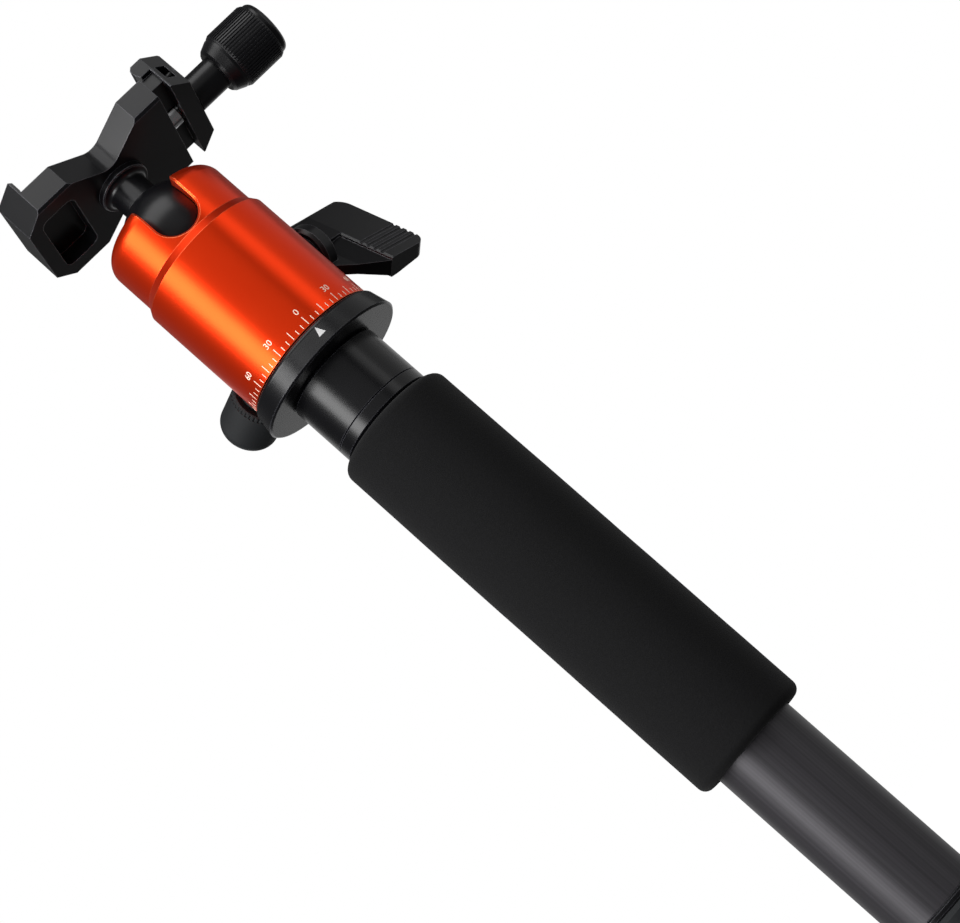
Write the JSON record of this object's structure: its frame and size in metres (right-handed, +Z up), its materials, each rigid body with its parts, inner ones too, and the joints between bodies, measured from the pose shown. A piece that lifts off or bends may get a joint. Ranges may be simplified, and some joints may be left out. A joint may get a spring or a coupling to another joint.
{
  "type": "travel tripod",
  "caption": "Detachable leg of a travel tripod used as a monopod, with a foam grip, twist locks and a ball head with a screw-knob quick-release clamp.",
  "frame": {"origin": "centre of the rubber foot's flat underside, with the leg folded", "axes": "+Z up the leg's axis, -Y to the head's front, where its notch and zero mark are, +X to the side of the clamp's knob"},
  "size_m": [0.0864, 0.0591, 0.4301],
  "materials": {
    "orange_anodised": "satin red-orange anodised",
    "black_anodised": "satin black anodised",
    "grey_tube": "dark grey satin anodised tube",
    "steel": "bright turned steel",
    "plain_aluminium": "turned",
    "black_plastic": "moulded",
    "black_rubber": "moulded rubber",
    "black_foam": "closed-cell foam sleeve with a fine cell texture"
  },
  "bodies": {
    "upper_leg": {"leg_tube_1": "grey_tube", "foam_grip": "black_foam", "leg_collar": "black_anodised", "neck_adapter": "black_anodised", "mounting_stud": "steel", "base_flange": "black_anodised", "pan_bearing": "black_plastic", "retaining_washer": "steel", "retaining_screw": "steel", "thread_sleeve_1": "plain_aluminium", "collet_1": "black_plastic"},
    "head": {"ball_housing": "orange_anodised", "lower_seat": "black_plastic", "thrust_block": "plain_aluminium", "lever_spacer": "plain_aluminium", "brake_pad": "black_plastic"},
    "lock_lever": {"lock_screw": "steel", "lock_lever": "black_anodised"},
    "pan_lock": {"pan_screw": "steel", "pan_knob": "black_plastic"},
    "ball": {"ball": "black_anodised"},
    "clamp": {"ball_stem": "black_anodised", "clamp_body": "black_anodised", "clamp_bolt": "steel", "screw_bush": "steel"},
    "jaw": {"clamp_jaw": "black_anodised", "guide_pins": "steel"},
    "knob": {"clamp_screw": "steel", "clamp_knob": "black_anodised", "knob_cap": "black_anodised"},
    "lock_1": {"twist_lock_1": "black_anodised", "lock_grip_ring_1": "black_rubber"},
    "section_2": {"leg_tube_2": "grey_tube", "guide_bush_2": "black_plastic", "thread_sleeve_2": "plain_aluminium", "collet_2": "black_plastic"},
    "lock_2": {"twist_lock_2": "black_anodised", "lock_grip_ring_2": "black_rubber"},
    "section_3": {"leg_tube_3": "grey_tube", "guide_bush_3": "black_plastic", "thread_sleeve_3": "plain_aluminium", "collet_3": "black_plastic"},
    "lock_3": {"twist_lock_3": "black_anodised", "lock_grip_ring_3": "black_rubber"},
    "section_4": {"leg_tube_4": "grey_tube", "guide_bush_4": "black_plastic", "thread_sleeve_4": "plain_aluminium", "collet_4": "black_plastic"},
    "lock_4": {"twist_lock_4": "black_anodised", "lock_grip_ring_4": "black_rubber"},
    "section_5": {"leg_tube_5": "grey_tube", "guide_bush_5": "black_plastic", "foot_plug": "plain_aluminium", "rubber_foot": "black_rubber"}
  },
  "joints": [
    {"name": "head_pan", "type": "hinge", "parent": "upper_leg", "child": "head", "pos_m": [0, 0, 0.3446], "axis": [0, 0, 1], "continuous": true},
    {"name": "lock_lever_turn", "type": "hinge", "parent": "head", "child": "lock_lever", "pos_m": [0.01677, 0.01089, 0.3676], "axis": [0.8387, 0.5446, 0], "range_deg": [0, 150]},
    {"name": "pan_knob_turn", "type": "hinge", "parent": "head", "child": "pan_lock", "pos_m": [-0.01089, 0.01677, 0.3519], "axis": [-0.5446, 0.8387, 0], "range_deg": [0, 360]},
    {"name": "ball_tilt", "type": "hinge", "parent": "head", "child": "ball", "pos_m": [0, 0, 0.3909], "axis": [1, 0, 0], "range_deg": [-23, 100]},
    {"name": "stem_turn", "type": "hinge", "parent": "ball", "child": "clamp", "pos_m": [0, 0, 0.3909], "axis": [0.0313, 0.1691, 0.9851], "continuous": true},
    {"name": "jaw_slide", "type": "slide", "parent": "clamp", "child": "jaw", "axis": [0.9993, -0.025, -0.0275], "range_m": [-0.0036, 0.002]},
    {"name": "clamp_knob_turn", "type": "hinge", "parent": "jaw", "child": "knob", "pos_m": [0.03076, 0.00402, 0.41786], "axis": [0.9993, -0.025, -0.0275], "range_deg": [-1296, 720]},
    {"name": "lock_1_turn", "type": "hinge", "parent": "upper_leg", "child": "lock_1", "pos_m": [0, 0, 0.1119], "axis": [0, 0, 1], "range_deg": [0, 120]},
    {"name": "section_2_slide", "type": "slide", "parent": "upper_leg", "child": "section_2", "axis": [0, 0, -1], "range_m": [0, 0.135]},
    {"name": "lock_2_turn", "type": "hinge", "parent": "section_2", "child": "lock_2", "pos_m": [0, 0, 0.0834], "axis": [0, 0, 1], "range_deg": [0, 120]},
    {"name": "section_3_slide", "type": "slide", "parent": "section_2", "child": "section_3", "axis": [0, 0, -1], "range_m": [0, 0.15]},
    {"name": "lock_3_turn", "type": "hinge", "parent": "section_3", "child": "lock_3", "pos_m": [0, 0, 0.0549], "axis": [0, 0, 1], "range_deg": [0, 120]},
    {"name": "section_4_slide", "type": "slide", "parent": "section_3", "child": "section_4", "axis": [0, 0, -1], "range_m": [0, 0.165]},
    {"name": "lock_4_turn", "type": "hinge", "parent": "section_4", "child": "lock_4", "pos_m": [0, 0, 0.0264], "axis": [0, 0, 1], "range_deg": [0, 120]},
    {"name": "section_5_slide", "type": "slide", "parent": "section_4", "child": "section_5", "axis": [0, 0, -1], "range_m": [0, 0.18]}
  ],
  "couplings": [
    {"joint": "clamp_knob_turn", "follows": "jaw_slide", "rad_per_m": 6283.2}
  ]
}
